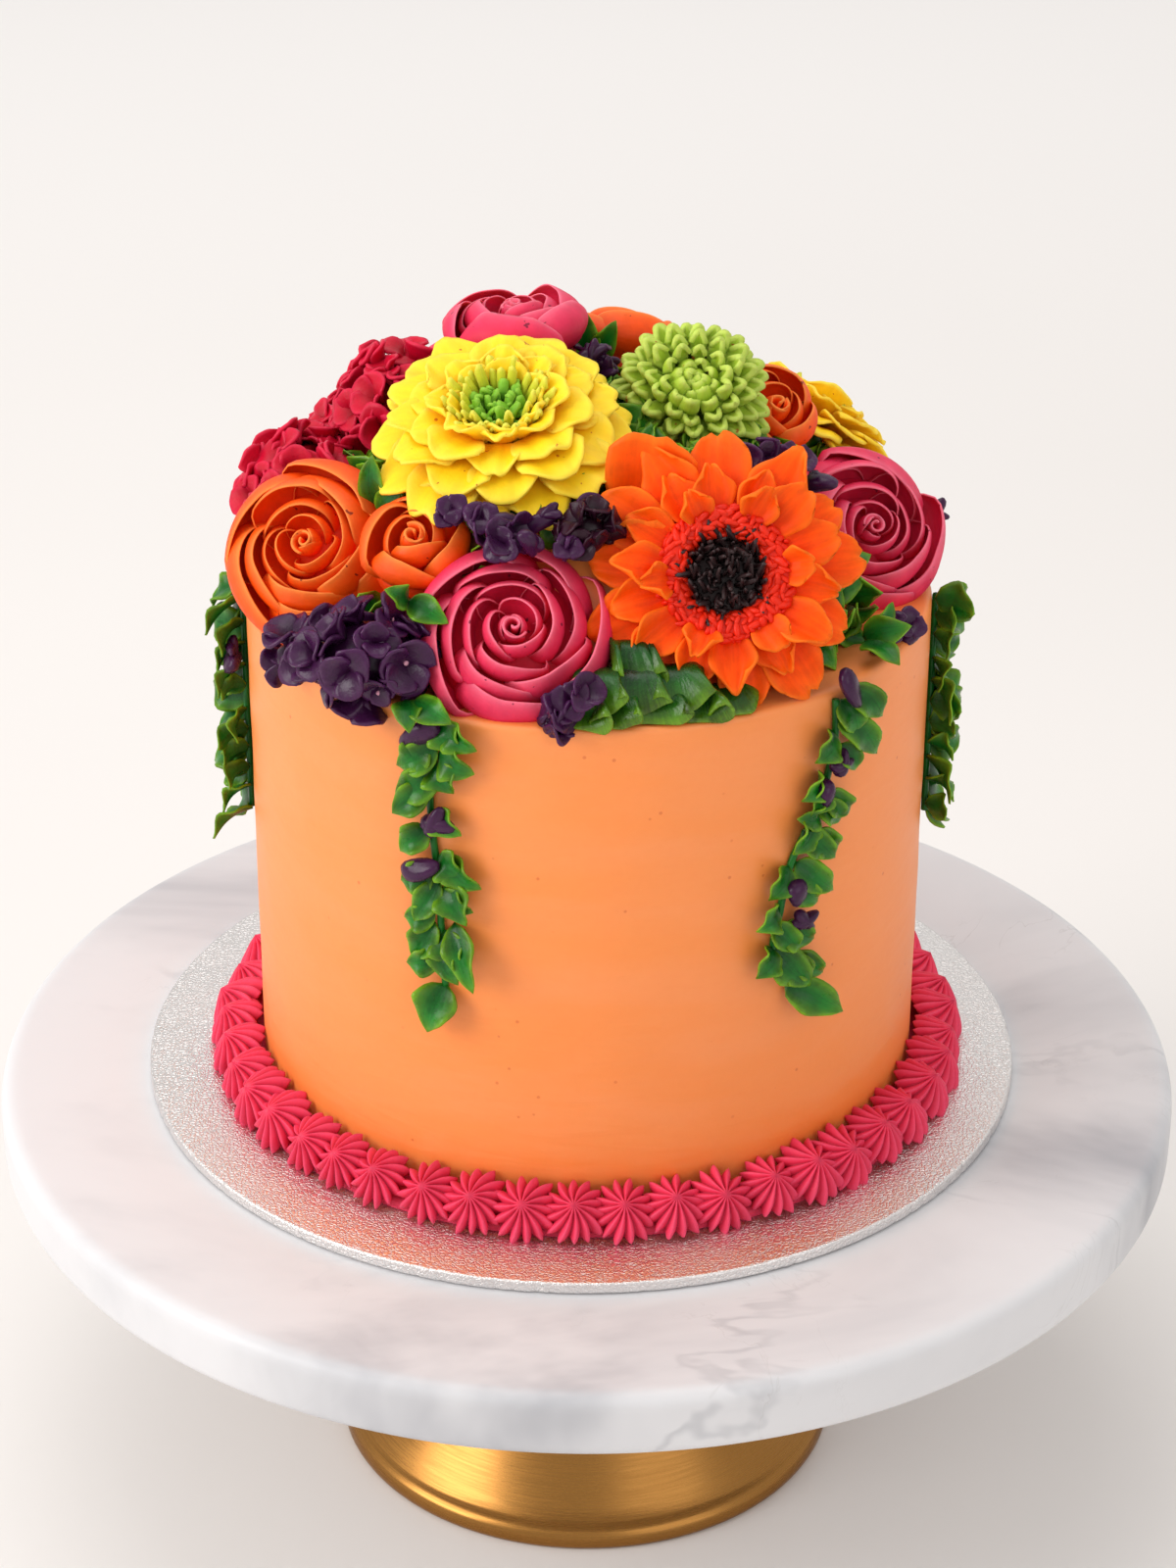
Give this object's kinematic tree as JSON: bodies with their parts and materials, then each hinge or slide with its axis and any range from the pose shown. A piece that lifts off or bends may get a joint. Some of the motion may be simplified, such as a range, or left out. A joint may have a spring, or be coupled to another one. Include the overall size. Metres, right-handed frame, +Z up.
{
  "type": "decorated cake on a stand",
  "caption": "Tall round buttercream cake with piped flowers, leafy vines and a star border, on a silver board and a marble plate with a brass foot.",
  "frame": {"origin": "centre of the underside of the stand's foot", "axes": "+Z up along the stand's axis, the cake's front looks along -Y, +X to the right seen from the front"},
  "size_m": [0.31, 0.31, 0.3174],
  "materials": {
    "brushed_brass": "satin, brushed round the axis",
    "white_marble": "honed white with faint grey veins",
    "silver_foil": "embossed silver foil on board",
    "peach_buttercream": "smoothed buttercream, food",
    "pink_buttercream": "piped buttercream, food",
    "magenta_buttercream": "piped buttercream, food",
    "orange_buttercream": "piped buttercream, food",
    "yellow_buttercream": "piped buttercream, food",
    "green_buttercream": "piped buttercream, food",
    "purple_buttercream": "piped buttercream, glossy, food",
    "leaf_buttercream": "piped buttercream, glossy, food"
  },
  "bodies": {
    "root": {"cake": "peach_buttercream", "cake_board": "silver_foil", "dark_beads_right": "purple_buttercream", "green_chrysanthemum": "green_buttercream", "leaf_left": "leaf_buttercream", "leaf_left_rim": "leaf_buttercream", "leaf_right": "leaf_buttercream", "leaf_ruffle": "leaf_buttercream", "leaf_top": "leaf_buttercream", "leaf_under_bud": "leaf_buttercream", "magenta_blossoms": "magenta_buttercream", "magenta_rose_back": "magenta_buttercream", "magenta_rose_front": "magenta_buttercream", "magenta_rose_right": "magenta_buttercream", "magenta_rose_top": "magenta_buttercream", "orange_gerbera": "orange_buttercream", "orange_petals": "orange_buttercream", "orange_rose_back": "orange_buttercream", "orange_rose_left": "orange_buttercream", "orange_rose_right": "orange_buttercream", "orange_rosebud": "orange_buttercream", "purple_blossoms": "purple_buttercream", "purple_blossoms_back": "purple_buttercream", "purple_buds_far_right": "purple_buttercream", "purple_buds_middle": "purple_buttercream", "purple_buds_right": "purple_buttercream", "purple_buds_rim": "purple_buttercream", "purple_buds_top": "purple_buttercream", "stand_foot": "brushed_brass", "stand_plate": "white_marble", "star_border": "pink_buttercream", "vine_back": "leaf_buttercream", "vine_front_left": "leaf_buttercream", "vine_front_right": "leaf_buttercream", "vine_left": "leaf_buttercream", "vine_right": "leaf_buttercream", "yellow_zinnia": "yellow_buttercream", "yellow_zinnia_back": "yellow_buttercream", "yellow_zinnia_right": "yellow_buttercream"}
  },
  "joints": []
}
